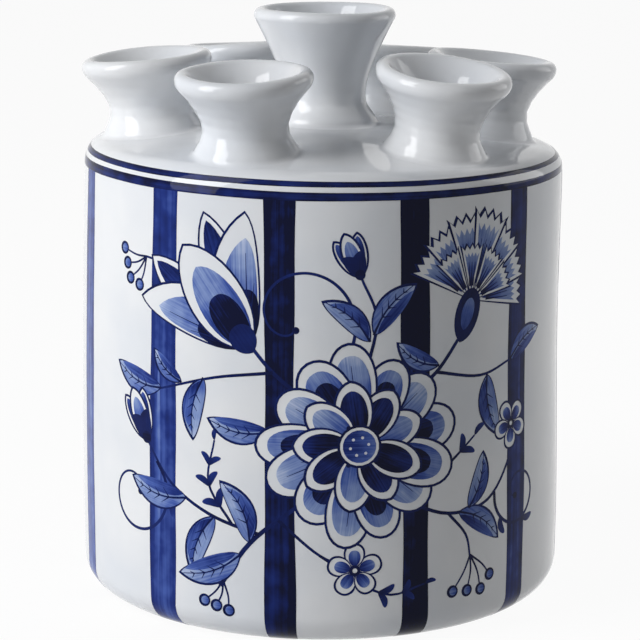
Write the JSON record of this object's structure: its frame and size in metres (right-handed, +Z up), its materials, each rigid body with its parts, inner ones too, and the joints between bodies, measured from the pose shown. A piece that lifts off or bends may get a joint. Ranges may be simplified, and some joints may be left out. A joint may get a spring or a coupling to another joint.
{
  "type": "tulip vase",
  "caption": "Round flower holder: a straight drum with a domed shoulder, one tall trumpet spout in the middle and a ring of shorter spouts leaning outwards.",
  "frame": {"origin": "centre of the foot, on the surface the vase stands on", "axes": "+Z up along the drum's axis, the front faces -Y, +X to the right seen from the front"},
  "size_m": [0.1606, 0.1606, 0.194],
  "materials": {
    "white_glaze": "gloss"
  },
  "bodies": {
    "root": {"drum": "white_glaze", "shoulder": "white_glaze", "centre_spout": "white_glaze", "spout_front_left": "white_glaze", "spout_front_right": "white_glaze", "spout_right": "white_glaze", "spout_back_right": "white_glaze", "spout_back_left": "white_glaze", "spout_left": "white_glaze"}
  },
  "joints": []
}
